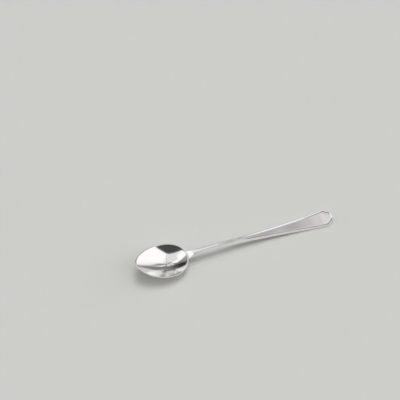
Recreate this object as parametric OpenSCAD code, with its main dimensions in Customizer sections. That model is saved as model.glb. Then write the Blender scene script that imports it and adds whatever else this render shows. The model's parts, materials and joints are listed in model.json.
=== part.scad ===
// Baby spoon: an oval bowl, hard-soldered to a flat handle that has a raised thread border.
// X runs from the tip of the bowl to the end of the handle, Y across the spoon and Z up.
// The origin lies on the table under the middle of the spoon, which rests on bowl and handle.

/* [Overall] */
// Length from the tip of the bowl to the end of the handle
spoon_l = 140; // [130:1:150]

/* [Bowl] */
// Length of the bowl, from its tip to the joint with the handle
bowl_l = 35.8; // [32:0.2:40]
// Width of the bowl across the rim
bowl_w = 25; // [21:0.2:28]
// Height of the rim at the tip
rim_tip_h = 14.3; // [12:0.1:16]
// Height of the rim half way along the bowl
rim_mid_h = 8.1; // [7.6:0.1:10]
// Height of the rim at the joint with the handle
rim_heel_h = 6.6; // [5.8:0.1:7.6]
// Thickness of the metal at the bottom of the bowl
bowl_wall = 1.1; // [0.8:0.1:1.6]
// Thickness of the metal at the rim
rim_t = 0.9; // [0.7:0.1:1.4]
// Rounding of the rim's two edges
rim_round = 0.25; // [0.1:0.05:0.3]

/* [Joint] */
// Length of the handle's tongue that laps the underside of the bowl
tongue_l = 8; // [6:0.5:8.5]
// Thickness of the tongue at its tip
tongue_tip_t = 0.45; // [0.3:0.05:0.6]
// Thickness of the tongue under the edge of the bowl
tongue_root_t = 1.6; // [1.2:0.1:2]
// Thickness of the solder between the bowl and the handle
seam_t = 0.12; // [0.08:0.02:0.2]

/* [Stem] */
// Width of the neck where it meets the bowl
neck_w = 5.8; // [5:0.1:7]
// Length over which the neck narrows to the stem
neck_flare_l = 15; // [12:0.5:18]
// Height of the stem's upper face where the neck has risen from the bowl
neck_h = 8.1; // [7.6:0.1:8.4]
// Length over which the neck rises
neck_rise_l = 5; // [4:0.5:7]
// Width of the stem at its narrowest
waist_w = 3.3; // [2.8:0.1:4]
// Thickness of the stem at the top of its arch
waist_t = 3.1; // [2.6:0.1:3.4]
// Height of the top of the arch
arch_h = 8.7; // [8:0.1:10]
// Distance from the joint to the top of the arch
arch_l = 19; // [16:0.5:22]

/* [Handle] */
// Distance from the joint to where the stem starts to widen into the handle
taper_l = 17.6; // [15:0.2:22]
// Height of the stem's upper face where it has come down from the arch
shank_h = 7; // [6.4:0.1:7.6]
// Distance from the joint to that height
shank_l = 36; // [32:1:40]
// Height of the handle's upper face lower down its slope
slope_h = 3.7; // [3.2:0.1:4.4]
// Distance from the joint to that height
slope_l = 66; // [60:1:72]
// Thickness of the flat handle without its border
blade_t = 1.8; // [1.5:0.1:2.2]
// Width across the shoulders, the widest part of the handle
shoulder_w = 12.8; // [10:0.2:15]
// Width of the straight edge at the end of the handle
end_w = 6.4; // [5:0.2:8]
// Length of the cut corners between the shoulders and the end
corner_l = 4.7; // [3:0.1:6]
// Length of the flat stretch under the handle that lies on the table
rest_l = 5; // [3:0.5:8]
// Distance from the end of the handle to the flat stretch
rest_gap_l = 8; // [7:0.5:12]
// Height of the underside of the handle's end above the table
end_lift = 0.6; // [0.3:0.1:1.2]
// Rounding of the handle's outer edges
edge_round = 0.25; // [0.15:0.05:0.3]
// How far the sides lean in from their lower to their upper edge
edge_lean = 0.3; // [0:0.05:0.5]

/* [Thread border] */
// Width of the raised thread along the edge of the handle
border_w = 0.75; // [0.6:0.05:1]
// Height of the thread above the flat panel
border_h = 0.3; // [0.2:0.02:0.4]
// Distance from the joint to where the thread starts to rise out of the stem
border_start_l = 22; // [20:1:28]
// Distance from the joint to where the thread has its full height
border_full_l = 62; // [54:1:70]

/* [Hidden] */
// How much fuller the bowl is towards the handle than towards its tip
egg_share = 0.16;
// Place of the bowl's lowest point along the bowl, from its tip
centre_share = 0.65;
// Steepness of the bowl at its rim, of its mean slope, at the tip, at the sides and at the heel
tip_curve = 1.35;
side_curve = 1.8;
heel_curve = 1.9;
// Power of the curve by which the neck narrows
neck_curve = 3;
// Power of the curve by which the handle widens to its shoulders
blade_curve = 1.95;
// Power of the curve by which the tongue thickens from its tip to its root
tongue_curve = 1.4;
// Part of the stem's thickness that stands upright at its sides
side_share = 0.45;
// Power of the stem's rounded section, which is flatter on top than an oval
stem_curve = 7;
// How much steeper the stem rises at the joint than over its neck
neck_steep_share = 2;
// How far the tongue's underside rises towards its sides, of its thickness
tongue_crown_share = 0.5;
// Lines along the upper side of the stem, from its middle to its edge, of its half width
stem_top_shares = [0.2, 0.45, 0.65, 0.8, 0.9, 0.97, 1];
// Lines along the underside of the stem, from its edge to its middle, of its half width
stem_under_shares = [0.99, 0.92, 0.78, 0.5, 0.2];
// Lines of the thread from the panel to its crest, as shares of its width and of its height
thread_shares = [[1, 0], [0.88, 0.5], [0.72, 0.88], [0.55, 1]];
// Place of the innermost line of the handle's underside, of the thread's width
under_share = 1.4;
// Places on the quarter round of an edge, from its flat face to its upright side
round_shares = [[1, 0], [0.3, 0.3], [0, 1]];
// Places of the rings inside and outside the tongue, as counts
centre_rings = 8;
tongue_rings = 8;
// Steps round the bowl outside the neck, along the neck and along the handle
bowl_steps = 64;
neck_steps = 10;
handle_steps = 48;

silver = "#d9d9d6";
solder = "#c9c8c2";

tip_x = -spoon_l / 2;
end_x = spoon_l / 2;
heel_x = tip_x + bowl_l;
shoulder_x = end_x - corner_l;
centre = [tip_x + bowl_l * centre_share, 0];
heel_reach = heel_x - centre[0];
taper_x = heel_x + taper_l;
flare_x = heel_x + neck_flare_l;

// The bowl's widest place and its width there, for a plan of unit half width
widest_cos = (sqrt(1 + 8 * egg_share * egg_share) - 1) / (4 * egg_share);
plan_gain = sqrt(1 - widest_cos * widest_cos) * (1 + egg_share * widest_cos);

// Half of the angle that the neck takes up on the rim
neck_angle = asin(neck_w * plan_gain / (bowl_w * (1 + egg_share)));

// Places across the tongue, from one side to the other, shared by bowl, seam and handle
half_across = stem_top_shares;
across = concat(
    [for (i = [len(half_across) - 1:-1:0]) -half_across[i]],
    half_across
);

// Angles round the rim: across the neck first, then round the rest of the bowl
rest_angle = 360 - 2 * neck_angle;
rim_angles = concat(
    [for (s = across) s * neck_angle],
    [for (i = [1:bowl_steps - 1]) neck_angle + rest_angle * i / bowl_steps]
);

// Rings of the bowl, from its lowest point to the rim, of the distance to the rim
tongue_share = 1 - tongue_l / heel_reach;
tongue_shares = [for (i = [0:tongue_rings]) tongue_share + (1 - tongue_share) * i / tongue_rings];
ring_shares = concat(
    [for (i = [1:centre_rings - 1]) tongue_share * i / centre_rings],
    tongue_shares
);

// Point of the rim's outer edge in plan
function rim_plan(a) = [
    tip_x + bowl_l * (1 + cos(a)) / 2,
    bowl_w / 2 * sin(a) * (1 + egg_share * cos(a)) / plan_gain
];

// Height of the rim, a curve through its heights at the tip, the middle and the heel
function rim_h(x) =
    let (u = (x - tip_x) / bowl_l)
    rim_tip_h * (1 - u) * (1 - 2 * u) + rim_mid_h * 4 * u * (1 - u) + rim_heel_h * u * (2 * u - 1);

// Rise of the bowl from its lowest point to a ring, of its full height
function bowl_rise(ring, a) =
    let (
        c = cos(a),
        ends_curve = (heel_curve + tip_curve) / 2,
        steep = side_curve + (heel_curve - tip_curve) / 2 * c + (ends_curve - side_curve) * c * c
    )
    ring * ring / ((2 - steep) * ring + steep - 1);

// Point of a bowl surface at a ring and an angle, drawn in from the rim and raised off the table
function bowl_point(ring, a, draw_in, floor_h) =
    let (
        p = rim_plan(a),
        out = p - centre,
        q = centre + out * (1 - draw_in / norm(out)) * ring,
        edge_h = rim_h(p[0]) - rim_round
    )
    [q[0], q[1], floor_h + (edge_h - floor_h) * bowl_rise(ring, a)];
function outer_point(ring, a) = bowl_point(ring, a, 0, 0);
function inner_point(ring, a) = bowl_point(ring, a, rim_t, bowl_wall);

// Point on the crest of the rim, drawn in from its outer edge
function crest_point(a, draw_in) =
    let (p = bowl_point(1, a, draw_in, 0))
    [p[0], p[1], p[2] + rim_round];

// Point of the handle's seat under or behind the bowl, a seam's thickness away from it
function seat_point(ring, a) =
    let (
        p = rim_plan(a),
        q = centre + (p - centre) * (ring == 1 ? 1 + seam_t / heel_reach : ring)
    )
    [q[0], q[1], outer_point(ring, a)[2] - seam_t];

// Point on the top edge of the handle's step, level with the rim's crest
function step_point(a) =
    let (p = seat_point(1, a))
    [p[0], p[1], crest_point(a, 0)[2]];

// Smooth curve through keys of place and value, level at a crest and along a flat
function key_rise(keys, i) = (keys[i + 1][1] - keys[i][1]) / (keys[i + 1][0] - keys[i][0]);
function key_slope(keys, i) =
    i == 0 ? key_rise(keys, 0) * neck_steep_share :
    i == len(keys) - 1 ? key_rise(keys, i - 1) :
    let (before = key_rise(keys, i - 1), after = key_rise(keys, i))
    before * after <= 0 ? 0 : 2 * before * after / (before + after);
function key_at(keys, x, i = 0) =
    i >= len(keys) - 2 || x < keys[i + 1][0] ? i : key_at(keys, x, i + 1);
function curve(keys, x) =
    let (
        i = key_at(keys, x),
        run = keys[i + 1][0] - keys[i][0],
        u = (x - keys[i][0]) / run,
        v = 1 - u
    )
    v * v * (1 + 2 * u) * keys[i][1] + u * u * (1 + 2 * v) * keys[i + 1][1]
        + run * u * v * (v * key_slope(keys, i) - u * key_slope(keys, i + 1));

// Height of the stem's and handle's upper face along the spoon, without the border
rest_end_x = end_x - rest_gap_l;
top_keys = [
    [heel_x, rim_heel_h],
    [heel_x + neck_rise_l, neck_h],
    [heel_x + arch_l, arch_h],
    [heel_x + shank_l, shank_h],
    [heel_x + slope_l, slope_h],
    [rest_end_x - rest_l, blade_t],
    [rest_end_x, blade_t],
    [end_x, blade_t + end_lift]
];
// Thickness along the stem and handle
root_t = rim_round + seam_t + tongue_root_t;
thick_keys = [
    [heel_x, root_t],
    [heel_x + arch_l, waist_t],
    [rest_end_x - rest_l, blade_t],
    [end_x, blade_t]
];

// Half width of the stem and handle along the spoon
function half_width(x) =
    let (
        flare = pow(max(0, flare_x - x) / neck_flare_l, neck_curve),
        widen = pow(max(0, x - taper_x) / (shoulder_x - taper_x), blade_curve)
    )
    (waist_w + (neck_w - waist_w) * flare + (shoulder_w - waist_w) * widen) / 2;

// Share of the way from a round stem to a flat handle with its border
function blade_share(x) =
    let (
        start_x = heel_x + border_start_l,
        full_x = heel_x + border_full_l,
        u = min(1, max(0, (x - start_x) / (full_x - start_x)))
    )
    u * u * (3 - 2 * u);

// Share of the way from the flat top of the neck to the round stem
function round_share(x) = 1 - pow(max(0, (flare_x - x) / neck_flare_l), 2);

// Plan of the handle's edge on one side, from the neck to the corner of its end
edge = concat(
    [for (i = [1:neck_steps]) let (x = heel_x + neck_flare_l * i / neck_steps) [x, half_width(x)]],
    [for (i = [1:handle_steps])
        let (x = flare_x + (shoulder_x - flare_x) * i / handle_steps) [x, half_width(x)]],
    [[end_x, end_w / 2]]
);
edge_end = len(edge) - 1;

// Point of the plan at a distance inside the edge, on the mitre of the edge's two directions
function unit(v) = v / norm(v);
function inward(a, b) = let (t = unit(b - a)) [t[1], -t[0]];
function inset(k, d) =
    let (
        next = k == edge_end ? [end_x, -end_w / 2] : edge[k + 1],
        after = inward(edge[k], next),
        before = k == 0 ? after : inward(edge[k - 1], edge[k]),
        mid = unit(before + after)
    )
    edge[k] + mid * (d / (mid * before));

// Lines of the thread, from the panel outwards: distance inside the edge and height over the panel
thread_lines = concat(
    [for (t = thread_shares) [edge_lean + border_w * t[0], border_h * t[1]]],
    [for (r = round_shares) [edge_lean + edge_round * r[0], border_h - edge_round * r[1]]]
);
// Lines of the lower edge, from the side inwards: distance inside the edge and height over the underside
under_lines = concat(
    [for (i = [len(round_shares) - 1:-1:0]) edge_round * round_shares[i]],
    [[border_w, 0], [border_w * under_share, 0]]
);

// Places of the handle's lines in plan, with their heights over the panel or the underside
function blade_lines(k, lines) = [for (l = lines) let (p = inset(k, l[0])) [p[0], p[1], l[1]]];

// Fall of a round section from its middle to a place across it
function round_fall(x, s) =
    curve(thick_keys, x) * (1 - side_share) / 2 * (1 - pow(1 - pow(s, stem_curve), 1 / stem_curve));

// Upper and lower half section of stem and handle at a station of the edge
function mixed(a, b, share) = a * (1 - share) + b * share;
function upper_half(k) =
    let (p = edge[k], flat = blade_lines(k, thread_lines), b = blade_share(p[0]), r = round_share(p[0]))
    [for (i = [0:len(flat) - 1])
        let (s = stem_top_shares[i], x = mixed(p[0], flat[i][0], b))
        [x, mixed((p[1] - edge_lean * r) * s, flat[i][1], b),
            curve(top_keys, x) + mixed(-round_fall(p[0], s) * r, flat[i][2], b)]];
function lower_half(k) =
    let (p = edge[k], flat = blade_lines(k, under_lines), b = blade_share(p[0]))
    [for (i = [0:len(flat) - 1])
        let (s = stem_under_shares[i], x = mixed(p[0], flat[i][0], b))
        [x, mixed(p[1] * s, flat[i][1], b),
            curve(top_keys, x) - curve(thick_keys, x) + mixed(round_fall(p[0], s), flat[i][2], b)]];

// Upper and lower half section of the tongue at a ring of the bowl
function tongue_t(ring) =
    let (u = (ring - tongue_share) / (1 - tongue_share))
    tongue_tip_t + (tongue_root_t - tongue_tip_t) * pow(u, tongue_curve);
function tongue_upper(ring) = [for (s = half_across) seat_point(ring, s * neck_angle)];
function tongue_lower(ring) = [for (s = stem_under_shares)
    let (p = seat_point(ring, s * neck_angle))
    [p[0], p[1], p[2] - tongue_t(ring) * (1 - tongue_crown_share * s * s)]];

// Closed section from one half: over the half, then back along its mirror image
function mirrored(p) = [p[0], -p[1], p[2]];
function both_sides(half) = concat(half, [for (i = [len(half) - 1:-1:0]) mirrored(half[i])]);

// Solid through closed sections of equal count; each end is closed straight across its section
// The triangles of a cross-wise surface run along the other diagonal
module loft(sections, crosswise = false) {
    n = len(sections[0]);
    last = len(sections) - 1;
    walls = [for (k = [0:last - 1], i = [0:n - 1])
        let (j = (i + 1) % n, a = k * n + i, b = k * n + j, c = b + n, d = a + n)
        each crosswise ? [[a, b, d], [b, c, d]] : [[a, b, c], [a, c, d]]];
    start_cap = [for (i = [0:n / 2 - 2])
        let (a = i, b = i + 1, c = n - 2 - i, d = n - 1 - i)
        each [[a, c, b], [a, d, c]]];
    end_cap = [for (i = [0:n / 2 - 2])
        let (o = last * n, a = o + i, b = o + i + 1, c = o + n - 2 - i, d = o + n - 1 - i)
        each [[a, b, c], [a, c, d]]];
    polyhedron([for (s = sections) each s], concat(walls, start_cap, end_cap));
}

// Bowl: a thin shell of rings from its lowest point outside, over the rim and back inside
module bowl() {
    outside = [for (r = ring_shares) [for (a = rim_angles) outer_point(r, a)]];
    rim = [for (d = [rim_round, rim_t - rim_round]) [for (a = rim_angles) crest_point(a, d)]];
    inside = [for (i = [len(ring_shares) - 1:-1:0]) [for (a = rim_angles) inner_point(ring_shares[i], a)]];
    rings = concat(outside, rim, inside);
    n = len(rim_angles);
    last = len(rings) - 1;
    foot = len(rings) * n;
    walls = [for (k = [0:last - 1], i = [0:n - 1])
        let (j = (i + 1) % n, a = k * n + i, b = k * n + j, c = b + n, d = a + n)
        each [[a, d, c], [a, c, b]]];
    bottom = [for (i = [0:n - 1]) let (j = (i + 1) % n) [foot, i, j]];
    floor = [for (i = [0:n - 1]) let (j = (i + 1) % n, o = last * n) [foot + 1, o + j, o + i]];
    poles = [[centre[0], centre[1], 0], [centre[0], centre[1], bowl_wall]];
    color(silver)
        polyhedron(concat([for (r = rings) each r], poles), concat(walls, bottom, floor));
}

// Handle: the tongue under the bowl, the step behind its edge, the stem, the blade and its border
module handle() {
    tongue = [for (r = tongue_shares) both_sides(concat(tongue_upper(r), tongue_lower(r)))];
    step_upper = [for (s = half_across) step_point(s * neck_angle)];
    step_lower = (tongue_lower(1) + lower_half(0)) / 2;
    blade = [for (k = [0:edge_end]) both_sides(concat(upper_half(k), lower_half(k)))];
    color(silver)
        loft(concat(tongue, [both_sides(concat(step_upper, step_lower))], blade), true);
}

// Solder seam: the film under and behind the edge of the bowl, in slices across the tongue
module solder_seam() {
    slices = [for (s = across)
        let (
            a = s * neck_angle,
            bowl_side = concat([for (r = tongue_shares) outer_point(r, a)], [crest_point(a, rim_round)]),
            handle_side = concat([for (r = tongue_shares) seat_point(r, a)], [step_point(a)])
        )
        concat(bowl_side, [for (i = [len(handle_side) - 1:-1:0]) handle_side[i]])];
    color(solder)
        loft(slices);
}

bowl();
handle();
solder_seam();
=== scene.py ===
"""Baby spoon in polished silver.

A deep egg-shaped bowl is hard-soldered to an arched handle with a thread border.
"""

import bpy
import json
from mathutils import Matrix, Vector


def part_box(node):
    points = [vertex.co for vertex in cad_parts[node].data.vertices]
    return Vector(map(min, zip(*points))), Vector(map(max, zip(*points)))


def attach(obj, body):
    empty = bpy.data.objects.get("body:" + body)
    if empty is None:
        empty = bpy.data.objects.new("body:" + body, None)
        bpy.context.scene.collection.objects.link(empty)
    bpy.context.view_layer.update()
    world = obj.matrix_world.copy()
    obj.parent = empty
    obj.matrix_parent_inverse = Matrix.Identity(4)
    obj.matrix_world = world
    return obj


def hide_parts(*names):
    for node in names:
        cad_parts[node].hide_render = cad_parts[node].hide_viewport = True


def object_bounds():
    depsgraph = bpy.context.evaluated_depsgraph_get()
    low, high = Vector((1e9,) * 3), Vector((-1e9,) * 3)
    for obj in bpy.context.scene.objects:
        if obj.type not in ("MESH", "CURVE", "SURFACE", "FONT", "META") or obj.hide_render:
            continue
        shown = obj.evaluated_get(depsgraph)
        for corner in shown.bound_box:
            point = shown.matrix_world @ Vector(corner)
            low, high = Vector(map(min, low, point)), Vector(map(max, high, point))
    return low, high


bl_info = {
    "name": "Baby spoon",
    "version": (1, 0, 0),
    "blender": (4, 5, 0),
    "location": "3D View > Sidebar > Spoon",
    "description": "Models a silver baby spoon and sets a plain studio for it",
    "category": "Object",
}

import json
import math

import bmesh
import bpy
from bpy.props import FloatProperty, FloatVectorProperty, IntProperty, PointerProperty
from mathutils import Matrix, Vector

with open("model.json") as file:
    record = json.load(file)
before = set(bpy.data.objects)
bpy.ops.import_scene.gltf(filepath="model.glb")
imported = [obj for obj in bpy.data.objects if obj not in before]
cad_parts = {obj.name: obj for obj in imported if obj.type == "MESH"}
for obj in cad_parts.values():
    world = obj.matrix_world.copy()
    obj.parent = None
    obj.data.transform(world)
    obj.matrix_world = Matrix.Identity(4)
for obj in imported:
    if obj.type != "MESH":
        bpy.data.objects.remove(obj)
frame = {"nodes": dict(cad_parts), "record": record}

CAD_LOW, CAD_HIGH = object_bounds()
BOWL_LOW, BOWL_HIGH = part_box("bowl")
HANDLE_LOW, HANDLE_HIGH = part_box("handle")
SLOT_COLOUR = {m["slot"]: m["base_color"] for m in frame["record"]["materials"]}
MM = 0.001

# Lines along the handle, from the middle of its upper side to its edge, of its half width
TOP_SHARES = (0.2, 0.45, 0.65, 0.8, 0.9, 0.97, 1.0)
# Lines along the underside, from the edge to near the middle
UNDER_SHARES = (0.99, 0.92, 0.78, 0.5, 0.2)
# The thread from the foot of its fillet to its crest, as shares of its width and of its height
THREAD_SHARES = ((1.3, 0.0), (1.0, 0.3), (0.72, 0.74), (0.45, 1.0))
# Place of the innermost line of the underside, of the thread's width
UNDER_INNER = 1.4
# The quarter round of an edge, from its flat face to its upright side
ROUND_SHARES = ((1.0, 0.0), (0.3, 0.3), (0.0, 1.0))
# Rings of the bowl from the rim to its lowest point, of the distance to the rim
BOWL_RINGS = (0.97, 0.93, 0.88, 0.82, 0.75, 0.68, 0.6, 0.52, 0.44, 0.36, 0.28, 0.2, 0.13, 0.07)
# A ring this far out is the rim itself, behind which the handle's seat stands
RIM_RING = 0.9999
# Points of the rim's circle that are this near along the spoon are a pair
PAIR_REACH = 0.01 * MM
# Steps of the subdivision that smooths a piece
SMOOTH_LEVELS = 2

# Worn places of the polish: scale and detail of their noise, and the range of it that counts
WEAR_SCALE = 260.0
WEAR_DETAIL = 3.0
WEAR_LOW, WEAR_HIGH = 0.3, 0.75
# Polishing marks: scale of their noise along, across and up, its detail, and strength and depth of the marks
MARK_SCALE = (90.0, 1500.0, 1500.0)
MARK_DETAIL = 2.0
MARK_STRENGTH = 0.6
MARK_DEPTH = 0.0004 * MM
# The noise of the worn places is about one half, so the tarnish that follows it is doubled
TARNISH_GAIN = 2.0
# Roughness of the solder's dullest places, of that of its brightest
SOLDER_SPREAD = 1.6
# The floor: its depth under the spoon, its cuts, its gloss, and scale and shade of its grain
FLOOR_DROP = 0.05 * MM
FLOOR_CUTS = 8
FLOOR_ROUGHNESS = 0.9
FLOOR_SPECULAR = 0.1
GRAIN_SCALE = 300.0
GRAIN_SHADE = 0.97
# Width of the camera's sensor in millimetres, and the nearest that it sees
SENSOR_WIDTH = 36.0
NEAREST = 0.01

# Brightness of the studio tent's ceiling, and of the world below the horizon
CEILING = 0.76
# Stretch of height over which the other parts of the tent set in above the horizon
HORIZON_LOW, HORIZON_HIGH = 0.0, 0.03
# Directions in which the edges of the tent lie: the top of its back on the right, on the left and at its end,
# the slit under the ceiling on the left and on the right, the front gap on the left and on the right,
# and the seam beside the right panel
BACK_RIGHT = (-0.168, 0.72, -0.675)
BACK_LEFT = (0.128, 0.818, -0.56)
BACK_END = (0.5, 1.0, 0.2)
SLIT_LEFT = (0.574, 0.744, -0.343)
SLIT_RIGHT = (0.1645, 0.917, -0.363)
FRONT_LEFT = (0.226, 0.82, 0.525)
FRONT_RIGHT = (0.564, 0.715, 0.414)
SEAM = (1.0, -0.28, 0.0)
LEVEL = (0, 0, 1)
ALONG = (1, 0, 0)
ACROSS = (0, 1, 0)
# Other parts of the tent, one over the other: brightness, and edges, each as a direction
# and the stretch along it over which the part sets in
TENT = (
    ("right panel", 1.04, (((1, -0.8, 0), 0.33, 0.8),)),
    ("left panel", 1.03, ((ALONG, -0.5, -0.72), (ACROSS, -0.35, 0.1))),
    ("seam beside the right panel", 0.48, ((SEAM, 0.33, 0.345), (SEAM, 0.395, 0.38), (ACROSS, -0.58, -0.5),
                                           (ACROSS, 0.28, 0.2))),
    ("light over the neck", 1.04, ((ALONG, 0.2, -0.16), (ACROSS, 0.3, 0.38))),
    ("strip behind the slit", 0.55, ((ALONG, -0.12, -0.02), (ALONG, 0.32, 0.2), (ACROSS, 0.46, 0.5))),
    ("shade over the handle", 0.53, ((ALONG, 0.24, 0.38), (ALONG, 0.68, 0.6), (ACROSS, 0.31, 0.36),
                                     (ACROSS, 0.5, 0.45))),
    ("deep shade over the handle", 0.3, ((ALONG, 0.41, 0.5), (ALONG, 0.68, 0.6), (ACROSS, 0.31, 0.36),
                                         (ACROSS, 0.5, 0.45))),
    ("slit on the right", 0.02, ((SLIT_RIGHT, -0.085, -0.07), (SLIT_RIGHT, 0.035, 0.02), (ALONG, 0.46, 0.4),
                                 (ALONG, -0.16, -0.06))),
    ("slit on the left", 0.2, ((SLIT_LEFT, -0.07, -0.05), (SLIT_LEFT, 0.06, 0.045), (ALONG, -0.1, -0.14),
                               (ALONG, -0.46, -0.4))),
    ("back", 0.2, ((LEVEL, 0.07, 0.12), (BACK_RIGHT, -0.07, 0.0), (BACK_LEFT, -0.03, 0.03),
                    (ALONG, 0.7, 0.5))),
    ("right part of the back", 0.2, ((LEVEL, 0.0, 0.03), (ALONG, 0.35, 0.55), (BACK_END, 0.88, 0.915))),
    ("dark side of the back", 0.02, ((LEVEL, 0.07, 0.12), (ALONG, 0.45, -0.55), (ACROSS, 0.66, 0.76),
                                     (BACK_LEFT, -0.03, 0.03))),
    ("left end of the back", 0.38, ((LEVEL, 0.07, 0.12), (ALONG, -0.52, -0.9), (BACK_LEFT, -0.03, 0.03))),
    ("gap in front", 0.06, ((LEVEL, 0.07, 0.12), (FRONT_LEFT, 0.03, -0.03), (FRONT_RIGHT, 0.02, -0.02))),
)


def measured(name, description, metres):
    """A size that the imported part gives."""
    return FloatProperty(name=name, description=description, default=metres,
                         unit="LENGTH", subtype="DISTANCE", precision=5)


def length(name, description, millimetres):
    """A size that is given here in millimetres."""
    return measured(name, description, millimetres * MM)


def share(name, description, value, top=4.0):
    """A plain number without a unit."""
    return FloatProperty(name=name, description=description, default=value, min=0.0, max=top)


def colour(name, description, value):
    """A colour of a finish."""
    return FloatVectorProperty(name=name, description=description, default=value, size=3,
                               min=0.0, max=1.0, subtype="COLOR")


def angle(name, description, degrees):
    """An angle, given here in degrees."""
    return FloatProperty(name=name, description=description, default=math.radians(degrees),
                         unit="ROTATION", subtype="ANGLE")


class SpoonSizes(bpy.types.PropertyGroup):
    """Sizes of the spoon."""

    bowl_length: measured("Bowl length", "From the tip of the bowl to the joint", BOWL_HIGH.x - BOWL_LOW.x)
    bowl_width: measured("Bowl width", "Across the rim", BOWL_HIGH.y - BOWL_LOW.y)
    rim_tip_height: measured("Rim at the tip", "Height of the rim at the tip", BOWL_HIGH.z)
    rim_mid_height: length("Rim half way", "Height of the rim half way along the bowl", 8.1)
    rim_heel_height: length("Rim at the heel", "Height of the rim at the joint", 6.6)
    bowl_wall: length("Bowl wall", "Metal at the bottom of the bowl", 1.1)
    rim_thickness: length("Rim thickness", "Metal at the rim", 0.9)
    rim_round: length("Rim rounding", "Rounding of the rim's two edges", 0.25)
    egg: share("Egg shape", "How much fuller the bowl is towards the handle", 0.16)
    lowest: share("Lowest point", "Place of the lowest point along the bowl", 0.65)
    tip_curve: share("Tip curve", "Steepness at the tip's rim, of the mean slope", 1.35)
    side_curve: share("Side curve", "Steepness at the sides' rim, of the mean slope", 1.8)
    heel_curve: share("Heel curve", "Steepness at the heel's rim, of the mean slope", 1.9)
    bowl_steps: IntProperty(name="Bowl steps", description="Steps round the bowl", default=72, min=16)

    tongue_length: length("Tongue length", "Length of the tongue that laps the bowl", 8.0)
    tongue_tip: length("Tongue tip", "Thickness of the tongue at its tip", 0.45)
    tongue_root: length("Tongue root", "Thickness of the tongue under the bowl's edge", 1.6)
    tongue_curve: share("Tongue curve", "Power of the curve by which the tongue thickens", 1.4)
    tongue_crown: share("Tongue crown", "How far the tongue's underside rises to its sides", 0.5)
    tongue_rings: IntProperty(name="Tongue rings", description="Sections of the tongue", default=8, min=2)
    seam: length("Seam", "Thickness of the solder", 0.12)

    neck_width: length("Neck width", "Width where the neck meets the bowl", 5.8)
    neck_flare: length("Neck flare", "Length over which the neck narrows", 15.0)
    neck_curve: share("Neck curve", "Power of the curve by which the neck narrows", 3.0)
    neck_steps: IntProperty(name="Neck steps", description="Sections of the neck", default=12, min=2)
    neck_steep: share("Neck steepness", "How much steeper the stem starts than it rises over its neck", 2.0)
    neck_height: length("Neck height", "Upper face where the neck has risen from the bowl", 8.1)
    neck_rise: length("Neck rise", "Length over which the neck rises", 5.0)
    waist_width: length("Waist width", "Width of the stem at its narrowest", 3.3)
    waist_thickness: length("Waist thickness", "Thickness at the top of the arch", 3.1)
    arch_height: length("Arch height", "Height of the top of the arch", 8.7)
    arch_length: length("Arch length", "From the joint to the top of the arch", 19.0)
    stem_curve: share("Stem curve", "Power of the stem's rounded section", 7.0, 12.0)
    stem_side: share("Stem side", "Part of the stem's thickness that stands upright", 0.45)

    taper_length: length("Taper", "From the joint to where the stem widens", 17.6)
    shank_height: length("Shank height", "Upper face where the stem leaves the arch", 7.0)
    shank_length: length("Shank length", "From the joint to that height", 36.0)
    slope_height: length("Slope height", "Upper face lower down the slope", 3.7)
    slope_length: length("Slope length", "From the joint to that height", 66.0)
    blade_thickness: length("Blade thickness", "Flat handle without its border", 1.8)
    blade_curve: share("Blade curve", "Power of the curve by which the handle widens", 1.95)
    shoulder_width: measured("Shoulder width", "Widest part of the handle", HANDLE_HIGH.y - HANDLE_LOW.y)
    end_width: length("End width", "Straight edge at the end of the handle", 6.4)
    corner_length: length("Corner length", "Length of the cut corners", 4.7)
    rest_length: length("Rest length", "Flat stretch that lies on the table", 5.0)
    rest_gap: length("Rest gap", "From the handle's end to the flat stretch", 8.0)
    end_lift: length("End lift", "Underside of the end above the table", 0.6)
    edge_round: length("Edge rounding", "Rounding of the handle's outer edges", 0.25)
    edge_lean: length("Edge lean", "How far the sides lean in towards their upper edge", 0.3)
    handle_steps: IntProperty(name="Handle steps", description="Sections of the handle", default=56, min=8)

    border_width: length("Thread width", "Raised thread along the handle's edge", 0.75)
    border_height: length("Thread height", "Thread above the flat panel", 0.3)
    border_start: length("Thread start", "From the joint to where the thread starts", 22.0)
    border_full: length("Thread full", "From the joint to the thread's full height", 62.0)
    corner_crease: share("Corner crease", "Sharpness of the cut corners", 0.8, 1.0)


class SpoonFinish(bpy.types.PropertyGroup):
    """Colours and gloss of the spoon."""

    silver: colour("Silver", "Colour of the polished silver", SLOT_COLOUR["polished_silver"])
    solder: colour("Solder", "Colour of the silver solder", SLOT_COLOUR["silver_solder"])
    tarnish: colour("Tarnish", "Colour of the silver at the foot of the thread", (0.42, 0.4, 0.37))
    tarnish_share: share("Tarnish share", "How much of the tarnish shows", 0.55, 1.0)
    gloss_low: share("Best polish", "Roughness of the best polished places", 0.01, 1.0)
    gloss_high: share("Worn polish", "Roughness of the worn places", 0.03, 1.0)
    solder_roughness: share("Solder roughness", "Roughness of the solder", 0.16, 1.0)


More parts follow.
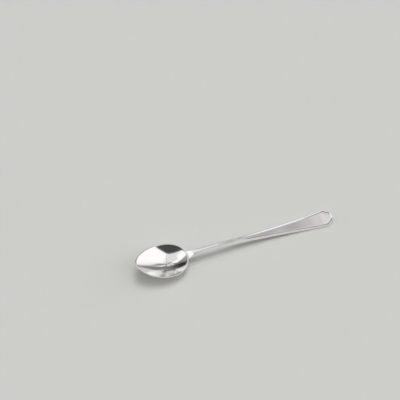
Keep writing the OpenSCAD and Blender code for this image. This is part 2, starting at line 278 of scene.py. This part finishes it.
class SpoonStudio(bpy.types.PropertyGroup):
    """Floor, light and camera."""

    floor: colour("Floor", "Colour of the floor", (0.72, 0.72, 0.695))
    floor_size: FloatProperty(name="Floor size", description="Side of the floor", default=16.0,
                              unit="LENGTH", subtype="DISTANCE")
    lamp_energy: share("Lamp", "Strength of the soft lamp", 1.0)
    lamp_back: angle("Lamp behind", "How far the lamp stands behind the spoon", 15.0)
    lamp_side: angle("Lamp aside", "How far the lamp stands to the right", 8.0)
    lamp_spread: angle("Lamp spread", "Width of the soft lamp", 30.0)
    azimuth: angle("Azimuth", "Turn of the camera round the spoon", -25.587)
    elevation: angle("Elevation", "Camera above the horizon", 59.816)
    roll: angle("Roll", "Turn of the camera about its view", 6.616)
    distance: FloatProperty(name="Distance", description="From the camera to its target", default=0.7293,
                            unit="LENGTH", subtype="DISTANCE", precision=4)
    target: FloatVectorProperty(name="Target", description="Point that the camera looks at",
                                default=(-0.01077, 0.03984, 0.0), size=3,
                                unit="LENGTH", subtype="XYZ", precision=5)
    lens: FloatProperty(name="Lens", description="Focal length in millimetres", default=96.51,
                        unit="CAMERA")


class SpoonForm:
    """Curves of the spoon, worked out from its sizes."""

    def __init__(self, sizes):
        s = self.s = sizes
        self.tip_x = CAD_LOW.x
        self.end_x = CAD_HIGH.x
        self.heel_x = self.tip_x + s.bowl_length
        self.flare_x = self.heel_x + s.neck_flare
        self.taper_x = self.heel_x + s.taper_length
        self.shoulder_x = self.end_x - s.corner_length
        self.centre_x = self.tip_x + s.bowl_length * s.lowest
        self.heel_reach = self.heel_x - self.centre_x
        widest = (math.sqrt(1 + 8 * s.egg * s.egg) - 1) / (4 * s.egg)
        self.plan_gain = math.sqrt(1 - widest * widest) * (1 + s.egg * widest)
        self.neck_angle = math.asin(s.neck_width * self.plan_gain / (s.bowl_width * (1 + s.egg)))
        self.tongue_share = 1 - s.tongue_length / self.heel_reach
        rest_end = self.end_x - s.rest_gap
        self.top_keys = (
            (self.heel_x, s.rim_heel_height),
            (self.heel_x + s.neck_rise, s.neck_height),
            (self.heel_x + s.arch_length, s.arch_height),
            (self.heel_x + s.shank_length, s.shank_height),
            (self.heel_x + s.slope_length, s.slope_height),
            (rest_end - s.rest_length, s.blade_thickness),
            (rest_end, s.blade_thickness),
            (self.end_x, s.blade_thickness + s.end_lift),
        )
        root = s.rim_round + s.seam + s.tongue_root
        self.thick_keys = (
            (self.heel_x, root),
            (self.heel_x + s.arch_length, s.waist_thickness),
            (rest_end - s.rest_length, s.blade_thickness),
            (self.end_x, s.blade_thickness),
        )
        neck = [self.heel_x + s.neck_flare * i / s.neck_steps for i in range(1, s.neck_steps + 1)]
        run = self.shoulder_x - self.flare_x
        blade = [self.flare_x + run * i / s.handle_steps for i in range(1, s.handle_steps + 1)]
        self.edge = [(x, self.half_width(x)) for x in neck + blade]
        self.edge.append((self.end_x, s.end_width / 2))

    def rim_plan(self, a):
        """Point of the rim's outer edge in plan."""
        s = self.s
        x = self.tip_x + s.bowl_length * (1 + math.cos(a)) / 2
        y = s.bowl_width / 2 * math.sin(a) * (1 + s.egg * math.cos(a)) / self.plan_gain
        return x, y

    def rim_height(self, x):
        """Height of the rim, a curve through its heights at the tip, the middle and the heel."""
        s = self.s
        u = (x - self.tip_x) / s.bowl_length
        return (s.rim_tip_height * (1 - u) * (1 - 2 * u) + s.rim_mid_height * 4 * u * (1 - u)
                + s.rim_heel_height * u * (2 * u - 1))

    def bowl_rise(self, ring, a):
        """Rise of the bowl from its lowest point to a ring, of its full height."""
        s = self.s
        c = math.cos(a)
        ends = (s.heel_curve + s.tip_curve) / 2
        steep = s.side_curve + (s.heel_curve - s.tip_curve) / 2 * c + (ends - s.side_curve) * c * c
        return ring * ring / ((2 - steep) * ring + steep - 1)

    def seat_point(self, ring, a):
        """Point of the handle's seat under or behind the bowl, a seam's thickness away from it."""
        s = self.s
        x, y = self.rim_plan(a)
        reach = 1 + s.seam / self.heel_reach if ring > RIM_RING else ring
        z = (self.rim_height(x) - s.rim_round) * self.bowl_rise(ring, a) - s.seam
        return Vector((self.centre_x + (x - self.centre_x) * reach, y * reach, z))

    def curve(self, keys, x):
        """Smooth curve through keys, steep at its start, level at a crest and along a flat."""
        rises = [(b[1] - a[1]) / (b[0] - a[0]) for a, b in zip(keys, keys[1:])]

        def slope(i):
            if i == 0:
                return rises[0] * self.s.neck_steep
            if i == len(keys) - 1:
                return rises[-1]
            before, after = rises[i - 1], rises[i]
            return 0.0 if before * after <= 0 else 2 * before * after / (before + after)

        i = 0
        while i < len(keys) - 2 and x >= keys[i + 1][0]:
            i += 1
        run = keys[i + 1][0] - keys[i][0]
        u = (x - keys[i][0]) / run
        v = 1 - u
        return (v * v * (1 + 2 * u) * keys[i][1] + u * u * (1 + 2 * v) * keys[i + 1][1]
                + run * u * v * (v * slope(i) - u * slope(i + 1)))

    def half_width(self, x):
        """Half width of the stem and handle along the spoon."""
        s = self.s
        flare = (max(0.0, self.flare_x - x) / s.neck_flare) ** s.neck_curve
        widen = (max(0.0, x - self.taper_x) / (self.shoulder_x - self.taper_x)) ** s.blade_curve
        added = (s.neck_width - s.waist_width) * flare + (s.shoulder_width - s.waist_width) * widen
        return (s.waist_width + added) / 2

    def blade_share(self, x):
        """Share of the way from the round stem to the flat handle with its border."""
        s = self.s
        u = (x - self.heel_x - s.border_start) / (s.border_full - s.border_start)
        u = min(1.0, max(0.0, u))
        return u * u * (3 - 2 * u)

    def round_fall(self, part):
        """Fall of the stem's section from its middle to a place across it, of its full fall."""
        return 1 - (1 - part ** self.s.stem_curve) ** (1 / self.s.stem_curve)

    def round_share(self, x):
        """Share of the way from the flat top of the neck to the round stem."""
        return 1 - max(0.0, (self.flare_x - x) / self.s.neck_flare) ** 2

    def inset(self, k, d):
        """Point of the plan at a distance inside the edge, on the mitre of its two directions."""
        def inward(a, b):
            t = (Vector(b) - Vector(a)).normalized()
            return Vector((t.y, -t.x))

        here = self.edge[k]
        ahead = (self.end_x, -self.s.end_width / 2) if k == len(self.edge) - 1 else self.edge[k + 1]
        after = inward(here, ahead)
        before = after if k == 0 else inward(self.edge[k - 1], here)
        mid = (before + after).normalized()
        return Vector(here) + mid * (d / mid.dot(before))

    def blade_section(self, k):
        """Section of stem and handle at a station of the edge, from its upper to its lower middle."""
        s = self.s
        x0, w = self.edge[k]
        b = self.blade_share(x0)
        r = self.round_share(x0)
        fall_full = self.curve(self.thick_keys, x0) * (1 - s.stem_side) / 2
        lean = s.edge_lean
        upper = [(lean + s.border_width * t[0], s.border_height * t[1]) for t in THREAD_SHARES]
        upper += [(lean + s.edge_round * t[0], s.border_height - s.edge_round * t[1]) for t in ROUND_SHARES]
        under = [(s.edge_round * t[0], s.edge_round * t[1]) for t in reversed(ROUND_SHARES)]
        under += [(s.border_width, 0.0), (s.border_width * UNDER_INNER, 0.0)]
        points = []
        for part, (d, h) in zip(TOP_SHARES, upper):
            flat = self.inset(k, d)
            fall = fall_full * self.round_fall(part) * r
            x = x0 * (1 - b) + flat.x * b
            z = self.curve(self.top_keys, x) - fall * (1 - b) + h * b
            points.append(Vector((x, (w - lean * r) * part * (1 - b) + flat.y * b, z)))
        for part, (d, h) in zip(UNDER_SHARES, under):
            flat = self.inset(k, d)
            fall = fall_full * self.round_fall(part)
            x = x0 * (1 - b) + flat.x * b
            z = self.curve(self.top_keys, x) - self.curve(self.thick_keys, x) + fall * (1 - b) + h * b
            points.append(Vector((x, w * part * (1 - b) + flat.y * b, z)))
        top = Vector((points[0].x, 0.0, self.curve(self.top_keys, points[0].x)))
        low_x = points[-1].x
        low = self.curve(self.top_keys, low_x) - self.curve(self.thick_keys, low_x)
        return [top, *points, Vector((low_x, 0.0, low))]

    def tongue_section(self, ring):
        """Section of the tongue at a ring of the bowl."""
        s = self.s
        u = (ring - self.tongue_share) / (1 - self.tongue_share)
        thick = s.tongue_tip + (s.tongue_root - s.tongue_tip) * max(0.0, u) ** s.tongue_curve
        points = [self.seat_point(ring, part * self.neck_angle) for part in (0.0, *TOP_SHARES)]
        for part in (*UNDER_SHARES, 0.0):
            p = self.seat_point(ring, part * self.neck_angle)
            p.z -= thick * (1 - s.tongue_crown * part * part)
            points.append(p)
        return points

    def step_section(self, root, first):
        """Section at the top of the step behind the bowl's edge."""
        count = 1 + len(TOP_SHARES)
        points = []
        for i, p in enumerate(root):
            if i < count:
                part = (0.0, *TOP_SHARES)[i]
                x, _ = self.rim_plan(part * self.neck_angle)
                points.append(Vector((p.x, p.y, self.rim_height(x))))
            else:
                points.append((p + first[i]) / 2)
        return points

    def handle_sections(self):
        """All sections of the handle from the tip of its tongue to its end, with the thread's share."""
        s = self.s
        rings = [self.tongue_share + (1 - self.tongue_share) * i / s.tongue_rings
                 for i in range(s.tongue_rings + 1)]
        tongue = [self.tongue_section(r) for r in rings]
        blade = [self.blade_section(k) for k in range(len(self.edge))]
        step = self.step_section(tongue[-1], blade[0])
        shares = [0.0] * (len(tongue) + 1) + [self.blade_share(p[0]) for p in self.edge]
        return tongue + [step] + blade, shares


def deselect():
    """Leaves edit mode and deselects every object."""
    if bpy.context.mode != "OBJECT":
        bpy.ops.object.mode_set(mode="OBJECT")
    bpy.ops.object.select_all(action="DESELECT")


def open_piece(name):
    """Names the primitive that was just added, puts its place into its mesh and opens it for editing."""
    piece = bpy.context.active_object
    piece.name = piece.data.name = name
    bpy.ops.object.transform_apply(location=True, rotation=True, scale=True)
    bpy.ops.object.mode_set(mode="EDIT")
    bpy.ops.mesh.select_mode(type="VERT")
    return piece


def pick(piece, wanted):
    """Selects the vertices with the wanted numbers, and the edges and faces between them."""
    bpy.ops.mesh.select_all(action="DESELECT")
    shape = bmesh.from_edit_mesh(piece.data)
    shape.verts.ensure_lookup_table()
    for i in wanted:
        shape.verts[i].select_set(True)
    shape.select_flush(True)


def picked(piece):
    """Numbers and places of the vertices that are selected."""
    shape = bmesh.from_edit_mesh(piece.data)
    shape.verts.index_update()
    return {v.index: v.co.copy() for v in shape.verts if v.select}


def close_piece(piece):
    """Turns the faces outwards, leaves edit mode and smooths the piece."""
    bpy.ops.mesh.select_all(action="SELECT")
    bpy.ops.mesh.normals_make_consistent(inside=False)
    bpy.ops.object.mode_set(mode="OBJECT")
    smooth = piece.modifiers.new("Smooth", "SUBSURF")
    smooth.levels = smooth.render_levels = SMOOTH_LEVELS
    bpy.ops.object.modifier_apply(modifier=smooth.name)
    bpy.ops.object.shade_smooth()


def node(tree, kind, place, values=None, **settings):
    """Adds a node to a material or world, with its settings and with values on its sockets."""
    made = tree.nodes.new(kind)
    made.location = place
    for key, value in settings.items():
        setattr(made, key, value)
    for key, value in (values or {}).items():
        made.inputs[key].default_value = value
    return made


def fresh_material(name, values):
    """An empty material with a shader on its output, and values on the shader's sockets."""
    material = bpy.data.materials.new(name)
    material.use_nodes = True
    tree = material.node_tree
    tree.nodes.clear()
    out = node(tree, "ShaderNodeOutputMaterial", (600, 0))
    shader = node(tree, "ShaderNodeBsdfPrincipled", (300, 0), values)
    tree.links.new(shader.outputs["BSDF"], out.inputs["Surface"])
    return material, tree, shader


def polish(tree, shader, low, high):
    """Roughness that drifts over the surface, and hair-fine polishing marks along the spoon."""
    place = node(tree, "ShaderNodeTexCoord", (-900, -200))
    wear = node(tree, "ShaderNodeTexNoise", (-500, -100), {"Scale": WEAR_SCALE, "Detail": WEAR_DETAIL})
    tree.links.new(place.outputs["Object"], wear.inputs["Vector"])
    limits = {"From Min": WEAR_LOW, "From Max": WEAR_HIGH, "To Min": low, "To Max": high}
    spread = node(tree, "ShaderNodeMapRange", (-250, -100), limits)
    tree.links.new(wear.outputs["Fac"], spread.inputs["Value"])
    tree.links.new(spread.outputs["Result"], shader.inputs["Roughness"])
    grain = node(tree, "ShaderNodeMapping", (-700, -450), {"Scale": MARK_SCALE})
    tree.links.new(place.outputs["Object"], grain.inputs["Vector"])
    marks = node(tree, "ShaderNodeTexNoise", (-500, -450), {"Scale": 1.0, "Detail": MARK_DETAIL})
    tree.links.new(grain.outputs["Vector"], marks.inputs["Vector"])
    bump = node(tree, "ShaderNodeBump", (0, -350), {"Strength": MARK_STRENGTH, "Distance": MARK_DEPTH})
    tree.links.new(marks.outputs["Fac"], bump.inputs["Height"])
    tree.links.new(bump.outputs["Normal"], shader.inputs["Normal"])
    return wear.outputs["Fac"]


def stain(tree, shader, clean, tarnish, cover, gain):
    """Colours a metal with tarnish on its clean colour, by a cover that varies and a gain."""
    amount = node(tree, "ShaderNodeMath", (-50, 200), {1: gain}, operation="MULTIPLY")
    tree.links.new(cover, amount.inputs[0])
    ends = {"A": (*clean, 1.0), "B": (*tarnish, 1.0)}
    blend = node(tree, "ShaderNodeMix", (120, 200), ends, data_type="RGBA")
    tree.links.new(amount.outputs["Value"], blend.inputs["Factor"])
    tree.links.new(blend.outputs["Result"], shader.inputs["Base Color"])


def silver_material(finish):
    """Mirror-polished silver, a little tarnished at the foot of the thread."""
    _, tree, shader = fresh_material("polished_silver", {"Metallic": 1.0})
    wear = polish(tree, shader, finish.gloss_low, finish.gloss_high)
    recess = node(tree, "ShaderNodeAttribute", (-500, 250), attribute_name="recess")
    patchy = node(tree, "ShaderNodeMath", (-250, 200), operation="MULTIPLY")
    tree.links.new(recess.outputs["Fac"], patchy.inputs[0])
    tree.links.new(wear, patchy.inputs[1])
    gain = finish.tarnish_share * TARNISH_GAIN
    stain(tree, shader, finish.silver, finish.tarnish, patchy.outputs["Value"], gain)


def solder_material(finish):
    """Silver solder: a shade duller and warmer than the silver, with a faint flow pattern."""
    _, tree, shader = fresh_material("silver_solder", {"Metallic": 1.0})
    wear = polish(tree, shader, finish.solder_roughness, finish.solder_roughness * SOLDER_SPREAD)
    stain(tree, shader, finish.solder, finish.tarnish, wear, finish.tarnish_share)


class SPOON_OT_make_bowl(bpy.types.Operator):
    """Models the bowl: the rim is drawn first, and rings are drawn in from it outside and inside"""

    bl_idname = "spoon.make_bowl"
    bl_label = "Make bowl"

    def execute(self, context):
        s = context.scene.spoon_sizes
        form = SpoonForm(s)
        steps = s.bowl_steps
        mid_x = form.tip_x + s.bowl_length / 2
        deselect()
        bpy.ops.mesh.primitive_circle_add(vertices=steps, radius=s.bowl_length / 2, fill_type="NOTHING",
                                          location=(mid_x, 0, 0))
        bowl = open_piece("silver_bowl")
        self.draw_rim(bowl, form, steps, mid_x)
        rim = range(steps)
        pick(bowl, rim)
        self.draw_rings(bowl, form, 0.0)
        pick(bowl, rim)
        reach_x = form.heel_reach + s.bowl_length * (s.lowest - 0.5)
        reach_y = s.bowl_width / 2
        drawn = 0.0
        centre = (form.centre_x, 0, 0)
        for draw, lift in ((s.rim_round, s.rim_round), (s.rim_thickness / 2, 0.0),
                           (s.rim_thickness - s.rim_round, 0.0), (s.rim_thickness, -s.rim_round)):
            bpy.ops.mesh.extrude_region_move()
            narrow = ((reach_x - draw) / (reach_x - drawn), (reach_y - draw) / (reach_y - drawn), 1)
            bpy.ops.transform.resize(value=narrow, center_override=centre)
            bpy.ops.transform.translate(value=(0, 0, lift))
            drawn = draw
        self.draw_rings(bowl, form, s.bowl_wall)
        close_piece(bowl)
        bowl.data.materials.append(bpy.data.materials["polished_silver"])
        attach(bowl, "root")
        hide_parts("bowl")
        return {"FINISHED"}

    @staticmethod
    def draw_rim(bowl, form, steps, mid_x):
        """Narrows the circle to the egg shape and lifts it to the height of the rim."""
        s = form.s
        at = picked(bowl)
        if len(at) != steps:
            raise RuntimeError("the rim's circle is not selected")
        for i in range(steps // 2 + 1):
            turn = 2 * math.pi * i / steps
            x, _ = form.rim_plan(turn)
            pair = [k for k, p in at.items() if abs(p.x - x) < PAIR_REACH]
            if not pair:
                raise RuntimeError("the rim has no point at %.5f" % x)
            pick(bowl, pair)
            narrow = s.bowl_width / s.bowl_length * (1 + s.egg * math.cos(turn)) / form.plan_gain
            bpy.ops.transform.resize(value=(1, narrow, 1), center_override=(mid_x, 0, 0))
            bpy.ops.transform.translate(value=(0, 0, form.rim_height(x) - s.rim_round))

    @staticmethod
    def draw_rings(bowl, form, floor):
        """Draws rings in from the selected loop to the lowest point and closes them there."""
        s = form.s
        last = 1.0
        for ring in BOWL_RINGS:
            bpy.ops.mesh.extrude_region_move()
            k = ring / last
            bpy.ops.transform.resize(value=(k, k, 1), center_override=(form.centre_x, 0, 0))
            at = picked(bowl)
            order = sorted(at, key=lambda i: abs(math.atan2(at[i].y, at[i].x - form.centre_x)))
            pairs = [order[:1], *zip(order[1:-1:2], order[2:-1:2]), order[-1:]]
            for i, pair in enumerate(pairs):
                turn = 2 * math.pi * i / s.bowl_steps
                full = form.rim_height(form.rim_plan(turn)[0]) - s.rim_round - floor
                drop = form.bowl_rise(ring, turn) - form.bowl_rise(last, turn)
                pick(bowl, pair)
                bpy.ops.transform.translate(value=(0, 0, full * drop))
            pick(bowl, order)
            last = ring
        bpy.ops.mesh.extrude_region_move()
        bpy.ops.transform.resize(value=(0, 0, 0), center_override=(form.centre_x, 0, floor))
        bpy.ops.mesh.merge(type="COLLAPSE")


class SPOON_OT_make_handle(bpy.types.Operator):
    """Models the handle: a section is drawn out from the tongue over the stem to the end of the blade"""

    bl_idname = "spoon.make_handle"
    bl_label = "Make handle"

    def execute(self, context):
        form = SpoonForm(context.scene.spoon_sizes)
        sections, shares = form.handle_sections()
        sides = 2 * (len(sections[0]) - 1)
        deselect()
        bpy.ops.mesh.primitive_circle_add(vertices=sides, radius=form.s.tongue_tip, fill_type="NOTHING",
                                          rotation=(math.pi / 2, 0, math.pi / 2))
        handle = open_piece("silver_handle")
        loop = self.first_loop(handle, sections[0])
        first = loop
        foot = {}
        corners = []
        for i in range(1, len(sections)):
            pick(handle, [k for group in loop for k in group])
            bpy.ops.mesh.extrude_region_move()
            loop = self.match(handle, sections[i - 1])
            self.move(handle, loop, sections[i - 1], sections[i])
            for k in loop[1]:
                foot[k] = shares[i]
            if i == form.s.tongue_rings + 1:
                corners.append(loop)
            elif i >= len(sections) - 2:
                corners.append(loop[1:-2])
        for group in corners:
            self.crease(handle, group, form.s.corner_crease)
        self.cap(handle, first)
        self.cap(handle, loop)
        bpy.ops.object.mode_set(mode="OBJECT")
        recess = handle.data.attributes.new("recess", "FLOAT", "POINT")
        for k, value in foot.items():
            recess.data[k].value = value
        bpy.ops.object.mode_set(mode="EDIT")
        close_piece(handle)
        handle.data.materials.append(bpy.data.materials["polished_silver"])
        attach(handle, "root")
        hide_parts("handle")
        return {"FINISHED"}

    @staticmethod
    def first_loop(handle, section):
        """Moves the starting circle to the first section and gives its vertices by lines."""
        at = picked(handle)
        order = sorted(at, key=lambda k: -at[k].z)
        groups = [[order[0]]]
        groups += [[a, b] for a, b in zip(order[1:-1:2], order[2:-1:2])]
        groups.append([order[-1]])
        old = [Vector((at[g[0]].x, abs(at[g[0]].y), at[g[0]].z)) for g in groups]
        SPOON_OT_make_handle.move(handle, groups, old, section)
        return groups

    @staticmethod
    def match(handle, section):
        """Gives the selected vertices by the lines of the section that they came from."""
        groups = [[] for _ in section]
        for k, p in picked(handle).items():
            folded = Vector((p.x, abs(p.y), p.z))
            best = min(range(len(section)), key=lambda i: (section[i] - folded).length_squared)
            groups[best].append(k)
        sizes = [len(g) for g in groups]
        if sizes != [1] + [2] * (len(section) - 2) + [1]:
            raise RuntimeError("a section of the handle lost its order: %s" % sizes)
        return groups

    @staticmethod
    def move(handle, groups, old, new):
        """Moves each line's pair of vertices from one section to the next."""
        for group, a, b in zip(groups, old, new):
            pick(handle, group)
            if len(group) == 2:
                bpy.ops.transform.resize(value=(1, b.y / a.y, 1), center_override=(0, 0, 0))
            bpy.ops.transform.translate(value=(b.x - a.x, 0, b.z - a.z))

    @staticmethod
    def crease(handle, groups, value):
        """Sharpens a section's loop, so that the corners of the plan stay crisp."""
        pick(handle, [k for group in groups for k in group])
        bpy.ops.transform.edge_crease(value=value)

    @staticmethod
    def cap(handle, groups):
        """Closes an end of the handle straight across its section, line by line."""
        pick(handle, groups[0] + groups[1] + groups[2])
        bpy.ops.mesh.edge_face_add()
        for a, b in zip(groups[2:-3], groups[3:-2]):
            pick(handle, a + b)
            bpy.ops.mesh.edge_face_add()
        pick(handle, groups[-3] + groups[-2] + groups[-1])
        bpy.ops.mesh.edge_face_add()


class SPOON_OT_dress_seam(bpy.types.Operator):
    """Gives the solder seam its finish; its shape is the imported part's own"""

    bl_idname = "spoon.dress_seam"
    bl_label = "Dress solder seam"

    def execute(self, context):
        seam = frame["nodes"]["solder_seam"]
        seam.data.materials.clear()
        seam.data.materials.append(bpy.data.materials["silver_solder"])
        return {"FINISHED"}


class SPOON_OT_mix_finishes(bpy.types.Operator):
    """Mixes the finishes of silver and solder"""

    bl_idname = "spoon.mix_finishes"
    bl_label = "Mix finishes"

    def execute(self, context):
        silver_material(context.scene.spoon_finish)
        solder_material(context.scene.spoon_finish)
        return {"FINISHED"}


class SPOON_OT_set_stage(bpy.types.Operator):
    """Sets the floor, the studio's light and the camera"""

    bl_idname = "spoon.set_stage"
    bl_label = "Set stage"

    def execute(self, context):
        studio = context.scene.spoon_studio
        context.scene.view_settings.view_transform = "Standard"
        self.lay_floor(studio)
        self.light_world(context.scene)
        self.hang_lamp(studio)
        self.place_camera(context.scene, studio)
        return {"FINISHED"}

    @staticmethod
    def lay_floor(studio):
        """A plain pale floor with a faint grain."""
        deselect()
        bpy.ops.mesh.primitive_plane_add(size=studio.floor_size, location=(0, 0, -FLOOR_DROP))
        floor = open_piece("floor")
        bpy.ops.mesh.subdivide(number_cuts=FLOOR_CUTS)
        bpy.ops.object.mode_set(mode="OBJECT")
        gloss = {"Roughness": FLOOR_ROUGHNESS, "Specular IOR Level": FLOOR_SPECULAR}
        material, tree, shader = fresh_material("pale_floor", gloss)
        place = node(tree, "ShaderNodeTexCoord", (-600, 0))
        grain = node(tree, "ShaderNodeTexNoise", (-400, 0), {"Scale": GRAIN_SCALE})
        tree.links.new(place.outputs["Object"], grain.inputs["Vector"])
        dark = [c * GRAIN_SHADE for c in studio.floor]
        ends = {"A": (*studio.floor, 1.0), "B": (*dark, 1.0)}
        tint = node(tree, "ShaderNodeMix", (0, 100), ends, data_type="RGBA")
        tree.links.new(grain.outputs["Fac"], tint.inputs["Factor"])
        tree.links.new(tint.outputs["Result"], shader.inputs["Base Color"])
        floor.data.materials.append(material)

    @staticmethod
    def light_world(scene):
        """A studio tent: a pale ceiling, white panels right and left, a grey back and a dark front gap."""
        world = bpy.data.worlds.new("studio")
        scene.world = world
        world.use_nodes = True
        tree = world.node_tree
        tree.nodes.clear()
        link = tree.links.new
        place = node(tree, "ShaderNodeTexCoord", (-1400, 0))
        way = place.outputs["Generated"]

        def edge(normal, start, stop):
            """A cover that rises smoothly from 0 to 1 along a direction."""
            along = node(tree, "ShaderNodeVectorMath", (-1000, 0), {1: normal}, operation="DOT_PRODUCT")
            link(way, along.inputs[0])
            limits = {"From Min": start, "From Max": stop}
            rise = node(tree, "ShaderNodeMapRange", (-600, 0), limits, interpolation_type="SMOOTHSTEP")
            link(along.outputs["Value"], rise.inputs["Value"])
            return rise.outputs["Result"]

        def both(a, b):
            """Covers only what two covers share."""
            made = node(tree, "ShaderNodeMath", (-300, 0), operation="MULTIPLY")
            link(a, made.inputs[0])
            link(b, made.inputs[1])
            return made.outputs["Value"]

        def laid_over(under, cover, tone):
            """Lays a part of the tent over those under it."""
            made = node(tree, "ShaderNodeMix", (0, 0), {"B": tone}, data_type="FLOAT")
            link(cover, made.inputs["Factor"])
            link(under, made.inputs["A"])
            return made.outputs["Result"]

        above = edge(LEVEL, HORIZON_LOW, HORIZON_HIGH)
        tent = node(tree, "ShaderNodeValue", (-300, 0)).outputs["Value"]
        tent.default_value = CEILING
        for _, tone, edges in TENT:
            cover = above
            for normal, start, stop in edges:
                cover = both(cover, edge(normal, start, stop))
            tent = laid_over(tent, cover, tone)
        light = node(tree, "ShaderNodeBackground", (300, 0))
        link(tent, light.inputs["Color"])
        out = node(tree, "ShaderNodeOutputWorld", (500, 0))
        link(light.outputs["Background"], out.inputs["Surface"])

    @staticmethod
    def hang_lamp(studio):
        """A wide soft lamp high behind the spoon, which the polished metal does not mirror."""
        deselect()
        bpy.ops.object.light_add(type="SUN", rotation=(-studio.lamp_back, studio.lamp_side, 0))
        lamp = bpy.context.active_object
        lamp.name = lamp.data.name = "soft_lamp"
        lamp.data.energy = studio.lamp_energy
        lamp.data.angle = studio.lamp_spread
        lamp.visible_glossy = False

    @staticmethod
    def place_camera(scene, studio):
        """A camera at the viewing angle, aimed at its target and rolled about its view."""
        az, el, roll = studio.azimuth, studio.elevation, studio.roll
        level = Vector((math.cos(az), math.sin(az), 0))
        ahead = Vector((-math.sin(az) * math.cos(el), math.cos(az) * math.cos(el), -math.sin(el)))
        upright = level.cross(ahead)
        right = math.cos(roll) * level + math.sin(roll) * upright
        up = -math.sin(roll) * level + math.cos(roll) * upright
        deselect()
        bpy.ops.object.camera_add()
        camera = bpy.context.active_object
        camera.name = camera.data.name = "viewpoint"
        axes = Matrix((right, up, -ahead)).transposed().to_4x4()
        camera.matrix_world = Matrix.Translation(Vector(studio.target) - ahead * studio.distance) @ axes
        camera.data.sensor_width = SENSOR_WIDTH
        camera.data.lens = studio.lens
        camera.data.clip_start = NEAREST
        scene.camera = camera


class SPOON_PT_panel(bpy.types.Panel):
    """Panel of the spoon in the sidebar"""

    bl_idname = "SPOON_PT_panel"
    bl_label = "Baby spoon"
    bl_space_type = "VIEW_3D"
    bl_region_type = "UI"
    bl_category = "Spoon"

    def draw(self, context):
        layout = self.layout
        for operator in OPERATORS:
            layout.operator(operator.bl_idname)
        for group in (context.scene.spoon_sizes, context.scene.spoon_finish, context.scene.spoon_studio):
            box = layout.box()
            for name in group.__annotations__:
                box.prop(group, name)


OPERATORS = (SPOON_OT_mix_finishes, SPOON_OT_make_bowl, SPOON_OT_make_handle, SPOON_OT_dress_seam,
             SPOON_OT_set_stage)
GROUPS = (SpoonSizes, SpoonFinish, SpoonStudio)
CLASSES = (*GROUPS, *OPERATORS, SPOON_PT_panel)


def register():
    for cls in CLASSES:
        bpy.utils.register_class(cls)
    bpy.types.Scene.spoon_sizes = PointerProperty(type=SpoonSizes)
    bpy.types.Scene.spoon_finish = PointerProperty(type=SpoonFinish)
    bpy.types.Scene.spoon_studio = PointerProperty(type=SpoonStudio)


def unregister():
    del bpy.types.Scene.spoon_sizes
    del bpy.types.Scene.spoon_finish
    del bpy.types.Scene.spoon_studio
    for cls in reversed(CLASSES):
        bpy.utils.unregister_class(cls)


def main():
    register()
    bpy.ops.spoon.mix_finishes()
    bpy.ops.spoon.make_bowl()
    bpy.ops.spoon.make_handle()
    bpy.ops.spoon.dress_seam()
    bpy.ops.spoon.set_stage()


if __name__ == "__main__":
    main()
